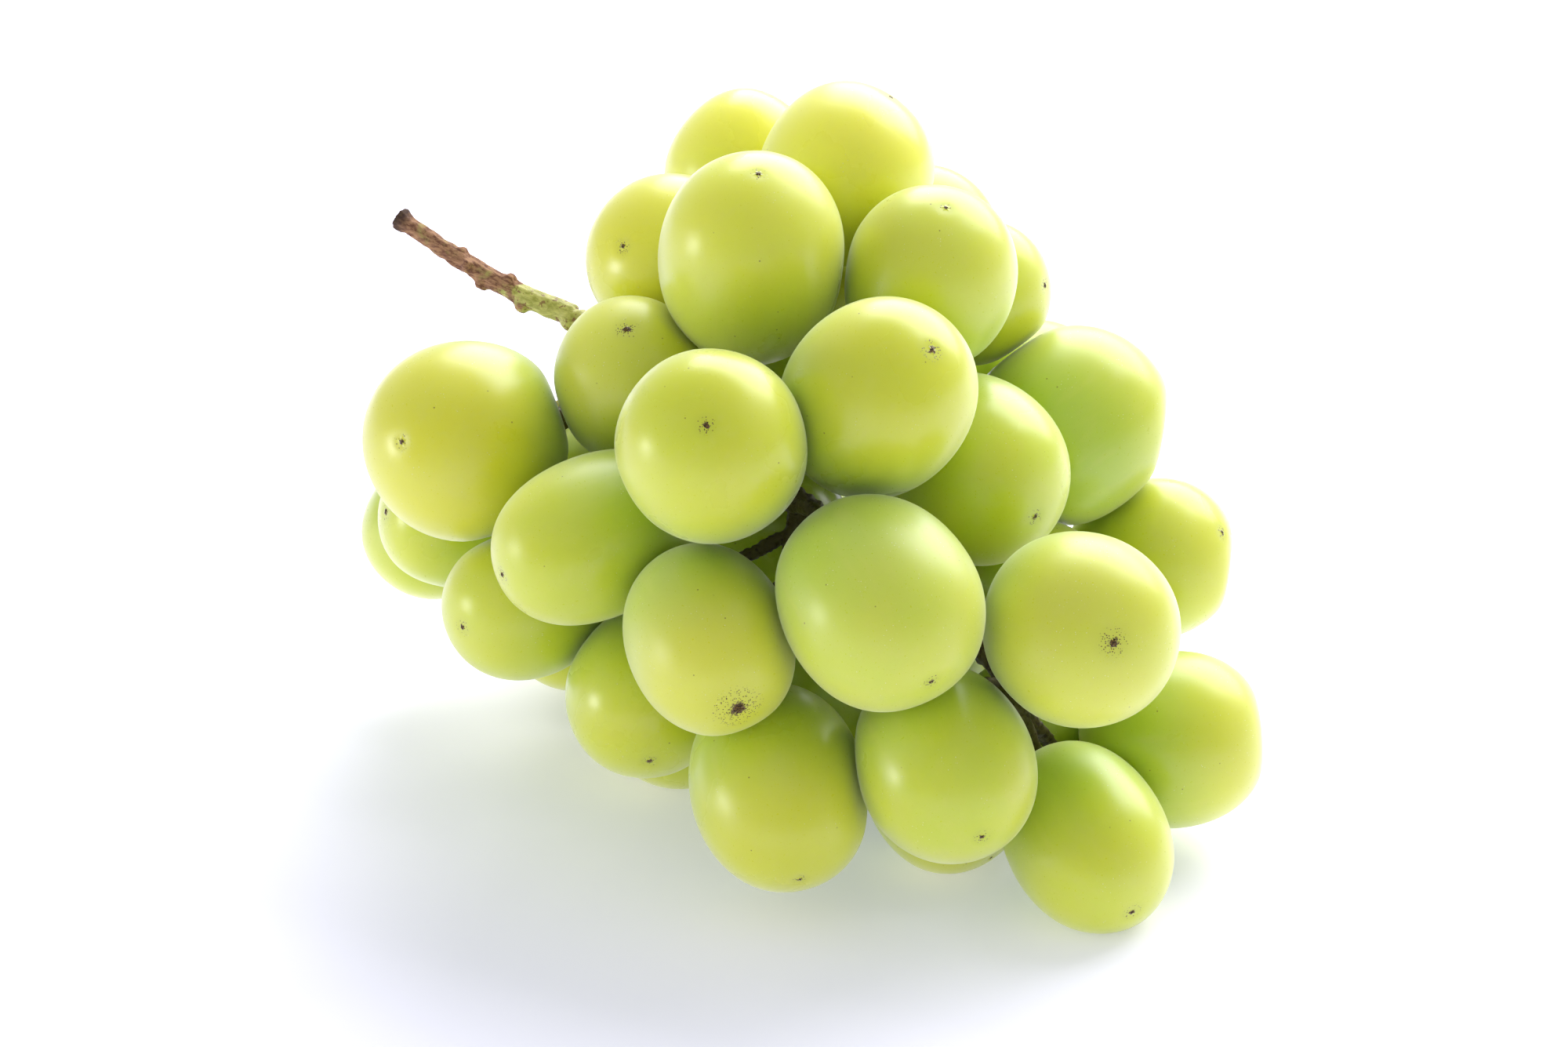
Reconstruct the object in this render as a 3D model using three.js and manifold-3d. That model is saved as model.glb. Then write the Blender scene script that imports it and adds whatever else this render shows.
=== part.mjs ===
// A bunch of large green table grapes, picked with its stem and lying on its side on a table.
//
// Frame: millimetres, the table is z = 0, and +X runs along the bunch from the cut end of the
// stem to the tip. The front of the bunch faces -Y. The origin is the middle of the bounding box
// at table height.
//
// Pieces: the peduncle is the bare woody stalk outside the bunch. The stem is the rest of the same
// growth: the main axis, its laterals, and a pedicel for each berry. Each berry can be picked off,
// so each is a mesh of its own, a hair away from the stem and from its neighbours.

import * as THREE from "three";
import { mergeVertices } from "three/addons/utils/BufferGeometryUtils.js";
import Module from "manifold-3d";

const wasm = await Module();
wasm.setup();
const { Manifold } = wasm;

// ---- Driving dimensions, in millimetres and degrees ----

const GAP = 0.35; // clearance between any two pieces
const PRESS = 0.45; // how deep a resting berry is flattened by the table

const AXIS_HEIGHT = 62; // the stem's axis above the table at station 0, where the first lateral leaves
const AXIS_SLOPE = 21; // how steeply the axis falls towards the tip
const AXIS_START = -1; // station where the peduncle becomes the stem
const JOINT_GAP = 0.7; // clearance between those two, which meet at a slight angle
const AXIS_END = 103; // station where the stem ends

const PEDUNCLE_RADIUS = 1.4; // the woody stalk near its cut end
const AXIS_RADIUS = 1.95; // where the peduncle becomes the stem
const AXIS_TIP_RADIUS = 1.5; // the stem's axis at the tip of the bunch
const LATERAL_RADIUS = 1.6;
const PEDICEL_RADIUS = 1.1; // at the berry
const PEDICEL_THIN = 0.85; // how much of that is left at its fork
const NECK_LENGTH = 2; // straight length of a pedicel behind its receptacle
const FIRST_FORK = 0.3; // share of a lateral before its first pedicel
const RECEPTACLE_RADIUS = 2.2; // the swollen disc that holds a berry
const RECEPTACLE_DEPTH = 1.6;

const BERRY_SIDES = 14; // flats round a berry
const BERRY_STEPS = 8; // flats from its stalk end to its blossom end
const STALK_SIDES = 5; // flats round a thin stalk
const STALK_STEPS = 4; // straight lengths in a thin stalk
const PEDUNCLE_SIDES = 10;
const FINEST_DETAIL = 0.05; // faces smaller than this are merged

// The peduncle outside the bunch: points on its centre line, from the cut end on.
const PEDUNCLE = [
  [-34, -6, 72.6],
  [-21, -4, 67.5],
  [-8, -2, 64],
];
const CUT_FLARE = 2.1; // radius of the swollen cut end
const CUT_LENGTH = 2.4;
const KNOB_SETTING = 1.2; // how far a knob's centre lies from the centre line
const KNOBS = [
  // Old bud scars: share of the peduncle's length, clock angle, radius.
  [0.33, 330, 1.1],
  [0.42, 60, 1.2],
  [0.51, 150, 1.4],
  [0.63, 345, 1.3],
  [0.75, 150, 1.6],
];

// The laterals and their berries. A lateral leaves the axis at station "root" and ends at its hub.
// A place is [station, clock, reach]: along the axis, the angle round it (0 up, 90 front,
// 180 down, 270 back), and the distance from it.
// A berry is [station, clock, reach, width, length], and then, where its blossom end doesn't point
// straight away from the axis, the compass heading (0 is +X, 90 is +Y) and rise of that end.
const LATERALS = {
  crown: {
    root: 2,
    hub: [12, 318, 13],
    berries: [
      [14, 0, 22, 24.6, 26, -85, 23],
      [5, 320, 35, 21.8, 23.4],
      [34, 14, 39, 25.8, 31, -39, 65],
      [27, 337, 45, 25.4, 27],
      [29, 297, 47, 24, 25.6],
      [37, 322, 22, 22, 24],
    ],
  },
  ridge: {
    root: 40,
    hub: [48, 330, 14],
    berries: [
      [53, 348, 43, 24, 26.6, -31, 64],
      [48, 314, 42, 21.4, 23, 17, 14],
      [72.7, 342, 22, 26.4, 29.2, -11, -10],
      [67, 25.5, 42, 25.2, 29, -8, 43],
    ],
  },
  shoulder: {
    root: 8,
    hub: [14, 95, 13],
    berries: [
      [16, 88, 40, 28.6, 29.8, -82, 18],
      [28, 54, 25, 22.8, 24.8, -52, 57],
      [8, 131, 37, 20.8, 22.4, -110, 17],
      [27, 123, 20, 22, 24],
      [35.7, 112, 42.4, 21.6, 25.4, -91, 2],
      [30, 150, 35, 21, 23],
    ],
  },
  face: {
    root: 34,
    hub: [46, 75, 15],
    berries: [
      [45, 84, 41, 22.8, 30, -105, -8],
      [59, 51, 50.5, 24.8, 27, -50, 33],
      [70, 83, 43, 22.6, 28, -29, -18],
      [87, 56, 37, 27.2, 30.4, -20, -22],
    ],
  },
  flank: {
    root: 50,
    hub: [60, 125, 13],
    berries: [
      [57, 119, 39, 22.8, 24.4, -45, -27],
      [86, 109, 39, 24, 29.4, -36, -30],
      [71, 148, 28, 22, 24],
      [52, 154, 38, 24, 24],
    ],
  },
  keel: {
    root: 6,
    hub: [16, 190, 15],
    berries: [
      [-4, 156, 42, 21.4, 23],
      [4, 197, 33, 22, 24],
      [23, 187, 45, 24, 26],
      [44, 207, 18, 22.5, 24],
    ],
  },
  back: {
    root: 14,
    hub: [24, 265, 13],
    berries: [
      [8, 270, 31, 22, 24],
      [24, 245, 44, 24, 26],
      [37, 274, 30, 22, 25],
      [54, 277, 50, 23.2, 24.8],
      [52, 244, 46, 24, 26],
      [46, 218, 45, 24, 26],
      [2, 232, 34, 22, 24],
    ],
  },
  heel: {
    root: 56,
    hub: [66, 235, 14],
    berries: [
      [70, 296, 36, 27.6, 29.2],
      [62, 258, 33, 22, 24],
      [74, 238, 44, 23.5, 26],
      [72, 214, 33, 22, 24],
      [82, 262, 19, 22, 24],
      [88, 272, 42, 23, 25.4, 13, 30],
    ],
  },
  tip: {
    root: 92,
    hub: [101, 104, 4],
    berries: [
      [107, 21, 24, 25.8, 27.8, -35, 16],
      [103, 91, 24, 23.6, 28.4, -29, -18],
      [98, 151, 20, 21.8, 23.4, -6, -36],
      [95, 219, 22, 22, 24],
      [114, 252, 18, 25.2, 26.8, 40, 8],
      [119, 141, 11, 21.8, 28.2, -24, -21],
    ],
  },
};

// The berries that the bunch rests on.
const RESTING = ["keel_3", "back_6", "heel_3", "flank_4", "tip_3", "tip_4", "tip_6"];

const SKIN = new THREE.MeshStandardMaterial({ color: "#bcc957", roughness: 0.42, metalness: 0 });
const BARK = new THREE.MeshStandardMaterial({ color: "#8a6a48", roughness: 0.8, metalness: 0 });

// How often the three searches for free space are repeated.
const SETTLE_ROUNDS = 300;
const ROUTE_ROUNDS = 120;
const CLEAR_ROUNDS = 20;

// ---- Places ----

const UP = new THREE.Vector3(0, 0, 1);
const radians = THREE.MathUtils.degToRad;
const AXIS = new THREE.Vector3(Math.cos(radians(AXIS_SLOPE)), 0, -Math.sin(radians(AXIS_SLOPE)));
const AXIS_UP = new THREE.Vector3(Math.sin(radians(AXIS_SLOPE)), 0, Math.cos(radians(AXIS_SLOPE)));
const AXIS_FRONT = new THREE.Vector3(0, -1, 0);

function onAxis(station) {
  return new THREE.Vector3(0, 0, AXIS_HEIGHT).addScaledVector(AXIS, station);
}

function clockwise(clock) {
  const out = AXIS_UP.clone().multiplyScalar(Math.cos(radians(clock)));
  return out.addScaledVector(AXIS_FRONT, Math.sin(radians(clock)));
}

function place(station, clock, reach) {
  return onAxis(station).addScaledVector(clockwise(clock), reach);
}

function compass(heading, rise) {
  const flat = Math.cos(radians(rise));
  const x = flat * Math.cos(radians(heading));
  const y = flat * Math.sin(radians(heading));
  return new THREE.Vector3(x, y, Math.sin(radians(rise)));
}

// ---- Berries ----

function newBerry(name, lateral, [station, clock, reach, width, length, heading, rise]) {
  const centre = place(station, clock, reach);
  const pointing = heading === undefined ? clockwise(clock) : compass(heading, rise);
  return { name, lateral, centre, pointing, radius: width / 2, half: length / 2 };
}

// How far a berry reaches from its centre in one direction.
function reachOf(berry, direction) {
  const along = direction.dot(berry.pointing);
  const stretch = berry.half ** 2 - berry.radius ** 2;
  return Math.sqrt(berry.radius ** 2 + stretch * along ** 2);
}

// Berries that grew side by side push each other apart, and the table holds the lowest ones.
function settle(berries) {
  for (let round = 0; round < SETTLE_ROUNDS; round += 1) {
    berries.forEach((one, index) => {
      for (const other of berries.slice(index + 1)) {
        const between = other.centre.clone().sub(one.centre);
        const distance = between.length();
        between.normalize();
        const need = reachOf(one, between) + reachOf(other, between) + GAP;
        if (distance < need) {
          one.centre.addScaledVector(between, (distance - need) / 2);
          other.centre.addScaledVector(between, (need - distance) / 2);
        }
      }
    });
    for (const berry of berries) {
      const rests = RESTING.includes(berry.name);
      const low = reachOf(berry, UP) - (rests ? PRESS : -2 * GAP);
      berry.centre.z = rests ? low : Math.max(low, berry.centre.z);
    }
  }
}

function ellipsoid(radius, half) {
  const profile = [];
  for (let step = 0; step <= BERRY_STEPS; step += 1) {
    const turn = (Math.PI * step) / BERRY_STEPS;
    const ends = step === 0 || step === BERRY_STEPS;
    profile.push(new THREE.Vector2(ends ? 0 : radius * Math.sin(turn), -half * Math.cos(turn)));
  }
  return new THREE.LatheGeometry(profile, BERRY_SIDES);
}

function stand(object, berry) {
  object.position.copy(berry.centre);
  object.quaternion.setFromUnitVectors(new THREE.Vector3(0, 1, 0), berry.pointing);
  object.updateMatrix();
}

function berryMesh(berry) {
  const mesh = new THREE.Mesh(ellipsoid(berry.radius, berry.half), SKIN);
  mesh.name = berry.name;
  stand(mesh, berry);
  if (RESTING.includes(berry.name)) {
    const whole = solidOf(mesh.geometry.clone().applyMatrix4(mesh.matrix));
    const pressed = geometryOf(whole.trimByPlane([0, 0, 1], 0));
    mesh.geometry = pressed.applyMatrix4(mesh.matrix.clone().invert());
  }
  return mesh;
}

// ---- Solids ----

function solidOf(geometry) {
  const loose = geometry.index ? geometry.toNonIndexed() : geometry;
  const bare = new THREE.BufferGeometry().setAttribute("position", loose.getAttribute("position"));
  const merged = mergeVertices(bare, 1e-4);
  const vertProperties = merged.getAttribute("position").array;
  const triVerts = new Uint32Array(merged.index.array);
  return new Manifold(new wasm.Mesh({ numProp: 3, vertProperties, triVerts }));
}

function geometryOf(manifold) {
  const mesh = manifold.getMesh();
  const geometry = new THREE.BufferGeometry();
  geometry.setAttribute("position", new THREE.BufferAttribute(mesh.vertProperties, 3));
  geometry.setIndex(new THREE.BufferAttribute(mesh.triVerts, 1));
  return geometry;
}

// ---- Stem ----

// A round stalk through these points, "radius" thick at its start and "thin" times that at its
// end: each vertex is moved to or from the nearest place on the centre line.
function stalk(points, radius, thin = 1, sides = STALK_SIDES) {
  const section = new THREE.Shape();
  for (let side = 0; side < sides; side += 1) {
    const turn = (2 * Math.PI * side) / sides;
    const method = side === 0 ? "moveTo" : "lineTo";
    section[method](radius * Math.cos(turn), radius * Math.sin(turn));
  }
  const extrudePath = new THREE.CatmullRomCurve3(points, false, "centripetal");
  const steps = points.length;
  const geometry = new THREE.ExtrudeGeometry(section, { steps, bevelEnabled: false, extrudePath });
  const rings = extrudePath.getSpacedPoints(steps);
  const vertices = geometry.getAttribute("position");
  for (let i = 0; i < vertices.count; i += 1) {
    const vertex = new THREE.Vector3().fromBufferAttribute(vertices, i);
    const distances = rings.map((ring) => ring.distanceTo(vertex));
    const ring = distances.indexOf(Math.min(...distances));
    vertex.lerp(rings[ring], (1 - thin) * (ring / steps));
    vertices.setXYZ(i, vertex.x, vertex.y, vertex.z);
  }
  return solidOf(geometry);
}

// Moves a point out of every berry, so that a stalk of this radius passes beside them.
function stepAside(point, berries, radius) {
  const clear = radius + GAP;
  for (const berry of berries) {
    const offset = point.clone().sub(berry.centre);
    const along = offset.dot(berry.pointing);
    const across = offset.clone().addScaledVector(berry.pointing, -along).length();
    const depth = Math.hypot(along / (berry.half + clear), across / (berry.radius + clear));
    if (depth < 1) {
      point.copy(berry.centre).addScaledVector(offset, 1 / depth);
    }
  }
}

// A way that bends round the berries: it is drawn tight like a string and pushed out of the
// berries by turns. The points in "start" and the end point stay where they are.
function route(start, end, berries, radius) {
  const points = [...start];
  const from = start[start.length - 1];
  for (let step = 1; step < STALK_STEPS; step += 1) {
    points.push(from.clone().lerp(end, step / STALK_STEPS));
  }
  points.push(end);
  for (let round = 0; round < ROUTE_ROUNDS; round += 1) {
    for (let i = start.length; i < points.length - 1; i += 1) {
      const middle = points[i - 1].clone().add(points[i + 1]).multiplyScalar(0.5);
      points[i].lerp(middle, 0.5);
      stepAside(points[i], berries, radius);
    }
  }
  return points;
}

function pedicel(berry, fork, berries) {
  const base = berry.centre.clone().addScaledVector(berry.pointing, -berry.half);
  const neck = base.clone().addScaledVector(berry.pointing, -RECEPTACLE_DEPTH - NECK_LENGTH);
  stepAside(neck, berries, PEDICEL_RADIUS);
  const points = route([base, neck], fork, berries, PEDICEL_RADIUS);
  const cone = new THREE.CylinderGeometry(
    RECEPTACLE_RADIUS, PEDICEL_RADIUS, RECEPTACLE_DEPTH, STALK_SIDES);
  const disc = new THREE.Object3D();
  stand(disc, berry);
  disc.position.copy(base).addScaledVector(berry.pointing, -RECEPTACLE_DEPTH / 2);
  disc.updateMatrix();
  return [stalk(points, PEDICEL_RADIUS, PEDICEL_THIN), solidOf(cone.applyMatrix4(disc.matrix))];
}

function lateral({ root, hub }, berries) {
  const end = place(...hub);
  for (let round = 0; round < CLEAR_ROUNDS; round += 1) {
    stepAside(end, berries, LATERAL_RADIUS);
  }
  const points = route([onAxis(root)], end, berries, LATERAL_RADIUS);
  const line = new THREE.CatmullRomCurve3(points, false, "centripetal");
  return { line, solid: stalk(points, LATERAL_RADIUS) };
}

// The bare stalk outside the bunch, with its bud scars and its swollen cut end.
function peduncle() {
  const points = PEDUNCLE.map((point) => new THREE.Vector3(...point));
  points.push(onAxis(AXIS_START - JOINT_GAP));
  const widening = AXIS_RADIUS / PEDUNCLE_RADIUS;
  const solids = [stalk(points, PEDUNCLE_RADIUS, widening, PEDUNCLE_SIDES)];
  const line = new THREE.CatmullRomCurve3(points, false, "centripetal");
  for (const [share, clock, radius] of KNOBS) {
    const at = line.getPointAt(share).addScaledVector(clockwise(clock), KNOB_SETTING);
    const knob = new THREE.SphereGeometry(radius, PEDUNCLE_SIDES, STALK_SIDES);
    solids.push(solidOf(knob.translate(at.x, at.y, at.z)));
  }
  const collar = new THREE.CylinderGeometry(PEDUNCLE_RADIUS, CUT_FLARE, CUT_LENGTH, PEDUNCLE_SIDES);
  const end = new THREE.Object3D();
  end.position.copy(line.getPoint(0));
  end.quaternion.setFromUnitVectors(new THREE.Vector3(0, 1, 0), line.getTangent(0));
  end.updateMatrix();
  solids.push(solidOf(collar.applyMatrix4(end.matrix)));
  return Manifold.union(solids);
}

function axis() {
  const stations = [0, 0.25, 0.5, 0.75, 1].map((share) => share * AXIS_END);
  stations[0] = AXIS_START;
  return stalk(stations.map(onAxis), AXIS_RADIUS, AXIS_TIP_RADIUS / AXIS_RADIUS, PEDUNCLE_SIDES);
}

function stemMeshes(berries) {
  const solids = [axis()];
  for (const [name, branch] of Object.entries(LATERALS)) {
    const { line, solid } = lateral(branch, berries);
    solids.push(solid);
    const borne = berries.filter((one) => one.lateral === name);
    borne.forEach((berry, index) => {
      const fork = line.getPoint(FIRST_FORK + ((1 - FIRST_FORK) * index) / borne.length);
      solids.push(...pedicel(berry, fork, berries));
    });
  }
  const room = Manifold.union(berries.map((berry) => {
    const swollen = new THREE.Mesh(ellipsoid(berry.radius + GAP, berry.half + GAP));
    stand(swollen, berry);
    return solidOf(swollen.geometry.applyMatrix4(swollen.matrix));
  }));
  const grown = { peduncle: peduncle(), stem: Manifold.union(solids) };
  return Object.entries(grown).map(([name, solid]) => {
    const mesh = new THREE.Mesh(geometryOf(solid.subtract(room).simplify(FINEST_DETAIL)), BARK);
    mesh.name = name;
    return mesh;
  });
}

// ---- The bunch ----

const berries = Object.entries(LATERALS).flatMap(([name, branch]) =>
  branch.berries.map((row, index) => newBerry(`${name}_${index + 1}`, name, row)));
settle(berries);

const bunch = new THREE.Group();
bunch.name = "grape_bunch";
bunch.add(...stemMeshes(berries));
bunch.add(...berries.map(berryMesh));

const middle = new THREE.Box3().setFromObject(bunch, true).getCenter(new THREE.Vector3());
for (const mesh of bunch.children) {
  mesh.position.x -= middle.x;
  mesh.position.y -= middle.y;
}

export default bunch;
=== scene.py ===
# %% [markdown]
# # A bunch of green table grapes
#
# The real thing is one bunch, picked with its woody stalk and laid on its side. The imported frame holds
# a plain solid for the stem and one for each berry. This lesson keeps their places and sizes, and gives
# each of them the shape, skin and light that the plain solids lack. Everything is in metres.

# %% Load the frame and keep its box
import math
import random

import bmesh
import bpy
import numpy as np
from mathutils import Matrix, Vector, noise


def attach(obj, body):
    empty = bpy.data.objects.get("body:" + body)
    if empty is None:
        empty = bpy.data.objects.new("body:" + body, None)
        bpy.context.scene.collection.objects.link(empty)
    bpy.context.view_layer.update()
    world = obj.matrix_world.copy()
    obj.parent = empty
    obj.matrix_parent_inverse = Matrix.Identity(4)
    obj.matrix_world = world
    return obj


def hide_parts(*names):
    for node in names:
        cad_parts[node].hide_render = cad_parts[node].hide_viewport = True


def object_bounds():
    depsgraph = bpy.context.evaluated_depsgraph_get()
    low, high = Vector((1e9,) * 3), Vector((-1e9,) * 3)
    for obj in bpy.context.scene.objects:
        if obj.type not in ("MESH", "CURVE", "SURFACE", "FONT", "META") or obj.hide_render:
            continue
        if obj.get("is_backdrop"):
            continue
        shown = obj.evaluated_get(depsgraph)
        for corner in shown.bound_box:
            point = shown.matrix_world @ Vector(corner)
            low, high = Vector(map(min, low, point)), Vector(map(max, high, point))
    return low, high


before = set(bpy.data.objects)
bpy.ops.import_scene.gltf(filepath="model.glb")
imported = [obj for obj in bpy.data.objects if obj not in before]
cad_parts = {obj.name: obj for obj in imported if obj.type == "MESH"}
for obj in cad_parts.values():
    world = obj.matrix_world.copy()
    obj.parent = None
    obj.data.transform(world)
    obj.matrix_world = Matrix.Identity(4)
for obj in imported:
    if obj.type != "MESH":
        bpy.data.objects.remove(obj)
cad_low, cad_high = (Vector(corner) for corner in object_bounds())
MM = 0.001
STEM_NODES = ["peduncle", "stem"]
BERRY_NODES = [name for name in sorted(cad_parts) if name not in STEM_NODES]
print("frame:", len(BERRY_NODES), "berries, box", [round(v / MM) for v in cad_high - cad_low], "mm")

# %% [markdown]
# ## The camera
#
# A long lens from about half a metre flattens the bunch a little. The camera looks down at 23 degrees,
# from the front left of the bunch's stalk end. What it aims at is given as shares of the frame's box, so
# the view follows the part if its size changes.

# %% Aim a long lens at the middle of the bunch
AIM_SHARE = (0.5167, 0.4472, 0.3935)
VIEW_TURN = math.radians(42)
VIEW_DROP = math.radians(23)
VIEW_DISTANCE = 0.567
LENS = 85

aim = Vector([low + (high - low) * part for low, high, part in zip(cad_low, cad_high, AIM_SHARE)])
view_right = Vector((math.cos(VIEW_TURN), math.sin(VIEW_TURN), 0))
view_back = Vector((
    math.sin(VIEW_TURN) * math.cos(VIEW_DROP),
    -math.cos(VIEW_TURN) * math.cos(VIEW_DROP),
    math.sin(VIEW_DROP),
))
view_up = view_back.cross(view_right)


def seen_from_camera(right, up, back):
    """A direction given as the camera sees it."""
    return (view_right * right + view_up * up + view_back * back).normalized()


camera_data = bpy.data.cameras.new("long_lens")
camera_data.lens = LENS
camera_data.sensor_width = 36
camera_data.clip_start = 0.01
camera = bpy.data.objects.new("camera", camera_data)
bpy.context.scene.collection.objects.link(camera)
camera.matrix_world = Matrix.Translation(aim + view_back * VIEW_DISTANCE) @ Matrix(
    (view_right, view_up, view_back)).transposed().to_4x4()
bpy.context.scene.camera = camera
print("camera at", [round(v / MM) for v in camera.location], "mm")

# %% [markdown]
# ## Colours and nodes
#
# Colours are written as sRGB hex, the way a paint picker shows them, and turned to the linear values that
# the shaders want. One function adds any node, sets the values that it is given, and makes the links.

# %% Small helpers for every material
def linear(hex_colour):
    """An sRGB hex colour as linear RGBA."""
    parts = [int(hex_colour[i:i + 2], 16) / 255 for i in (1, 3, 5)]
    return tuple(c / 12.92 if c <= 0.04045 else ((c + 0.055) / 1.055) ** 2.4 for c in parts) + (1.0,)


def add(tree, kind, inputs=None, **settings):
    """Adds a node. An input is a number, a hex colour, an output, or a node whose first output is meant."""
    node = tree.nodes.new(kind)
    for key, value in settings.items():
        setattr(node, key, value)
    for key, value in (inputs or {}).items():
        if isinstance(value, bpy.types.Node):
            tree.links.new(value.outputs[0], node.inputs[key])
        elif isinstance(value, bpy.types.NodeSocket):
            tree.links.new(value, node.inputs[key])
        else:
            node.inputs[key].default_value = linear(value) if isinstance(value, str) else value
    return node


def new_material(name):
    material = bpy.data.materials.new(name)
    material.use_nodes = True
    material.node_tree.nodes.clear()
    return material


print("helpers ready, leaf green is", [round(c, 3) for c in linear("#a4b82f")])

# %% [markdown]
# ## Light and floor
#
# A pale studio table in a pale room. The world gives an even white fill. One very wide soft panel hangs
# above and behind the bunch on the right: it shines back as the broad pale patch on each berry's upper
# right side. A small low window on the left gives the little bright marks there. The floor is a matt
# white light table: its faint glow keeps the shadow pale and the undersides fresh.

# %% Set the white room, the lights and the floor
scene = bpy.context.scene
scene.view_settings.view_transform = "Standard"

room = bpy.data.worlds.new("white_room")
scene.world = room
room.use_nodes = True
walls = room.node_tree.nodes["Background"]
walls.inputs["Color"].default_value = linear("#fbfdff")
walls.inputs["Strength"].default_value = 0.54


def soft_panel(name, direction, distance, width, height, power, colour):
    """A rectangular lamp that faces the bunch."""
    data = bpy.data.lights.new(name, "AREA")
    data.shape = "RECTANGLE"
    data.size = width
    data.size_y = height
    data.energy = power
    data.color = linear(colour)[:3]
    lamp = bpy.data.objects.new(name, data)
    scene.collection.objects.link(lamp)
    lamp.location = aim + direction * distance
    lamp.rotation_euler = direction.to_track_quat("Z", "Y").to_euler()
    return lamp


from_above_behind = seen_from_camera(0.36, 0.84, -0.36)
from_the_left = seen_from_camera(-0.93, -0.08, 0.16)
soft_panel("wide_panel", from_above_behind, 1.4, 1.8, 1.3, 37, "#fdfdff")
soft_panel("low_window", from_the_left, 1.0, 0.24, 0.28, 3.0, "#ffffff")

# %% Lay the table
TABLE_HALF = 4

floor_mesh = bpy.data.meshes.new("white_table")
bm = bmesh.new()
bmesh.ops.create_grid(bm, x_segments=1, y_segments=1, size=TABLE_HALF)
bm.to_mesh(floor_mesh)
bm.free()
floor = bpy.data.objects.new("white_table", floor_mesh)
scene.collection.objects.link(floor)
floor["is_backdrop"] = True

# Matt white laminate: a pressed sheet with a fine dull surface. It spreads light evenly and hardly shines.
matt_white = new_material("matt white laminate")
tree = matt_white.node_tree
board = add(tree, "ShaderNodeBsdfPrincipled", {
    "Base Color": "#f5f2ff",
    "Roughness": 0.75,
    "Specular IOR Level": 0.2,
    "Emission Color": "#dde2ff",
    "Emission Strength": 0.33,
})
add(tree, "ShaderNodeOutputMaterial", {"Surface": board})
floor_mesh.materials.append(matt_white)
print("table:", 2 * TABLE_HALF, "m wide")

# %% [markdown]
# ## Measuring the plain berries
#
# Each plain solid is a spheroid. Its long axis is the direction in which its surface spreads the most, so
# the faces' centres, weighted by area, give it. The end nearest the stem is where the berry hangs, and the
# other end carries the dried scar of the blossom.

# %% Read each berry's centre, axis and size from the frame
stem_points = np.array([v.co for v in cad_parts["stem"].data.vertices])


def measure(name):
    """The centre, the way to the blossom end, the radius and the half length of one plain berry."""
    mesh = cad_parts[name].data
    areas = np.array([face.area for face in mesh.polygons])
    middles = np.array([face.center for face in mesh.polygons])
    points = np.array([v.co for v in mesh.vertices])
    centre = (middles * areas[:, None]).sum(0) / areas.sum()
    offsets = middles - centre
    spread = (offsets * areas[:, None]).T @ offsets
    axis = np.linalg.eigh(spread)[1][:, 2]
    along = (points - centre) @ axis
    across = np.linalg.norm(points - centre - along[:, None] * axis, axis=1)
    half = np.abs(along).max()
    ends = [centre + side * half * axis for side in (1, -1)]
    to_stem = [np.linalg.norm(stem_points - end, axis=1).min() for end in ends]
    if to_stem[0] < to_stem[1]:
        axis = -axis
    return {"centre": centre, "axis": axis, "radius": across.max(), "half": half}


berries = {name: measure(name) for name in BERRY_NODES}
widths = [2 * berry["radius"] / MM for berry in berries.values()]
print("plain berries are", round(min(widths), 1), "to", round(max(widths), 1), "mm wide")

# %% [markdown]
# ## The shape of a grape
#
# A grape is a water-filled skin. Left alone it is a fat spheroid with full shoulders, but in a bunch its
# neighbours and the table press it, so it has soft flats where it touches. One route is a soft-body
# simulation. A shorter one gives nearly the same shape: start from a sphere, and fold each vertex back
# behind the plane that it shares with a neighbour. The plain solids are 4 percent too small on purpose,
# so that they never touch, and the real size is given back here.

# %% Swell the berries, and find the planes that they share
PLUMP = 1.045
# A few berries are fuller still.
FULLER = {
    "crown_1": 1.02, "crown_3": 1.03, "ridge_1": 1.02, "ridge_4": 1.03, "shoulder_2": 1.02,
    "face_2": 1.035, "face_3": 1.03, "flank_2": 1.02, "heel_1": 1.035, "heel_6": 1.035,
    "tip_1": 1.03, "tip_2": 1.03, "tip_6": 1.03,
}
SKIN_GAP = 0.02 * MM
# Flats that older neighbours left: compass heading and rise of the flat, and its distance from the
# centre as a share of the reach.
OLD_FLATS = {
    "heel_1": [(40, -8, 0.92)], "heel_6": [(38, -6, 0.91)], "tip_5": [(44, 4, 0.94)],
    "tip_2": [(160, 40, 0.93)], "face_2": [(215, -30, 0.94)],
}
SOFTNESS = 0.45 * MM
NEIGHBOURHOOD = 40 * MM

for index, (name, berry) in enumerate(berries.items()):
    berry["radius"] *= PLUMP * FULLER.get(name, 1)
    berry["half"] *= PLUMP * FULLER.get(name, 1)
    berry["seed"] = index


def reach(berry, direction):
    """How far a berry reaches from its centre in one direction, if nothing pressed it."""
    along = direction @ berry["axis"]
    return math.sqrt(berry["radius"] ** 2 + (berry["half"] ** 2 - berry["radius"] ** 2) * along ** 2)


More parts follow.
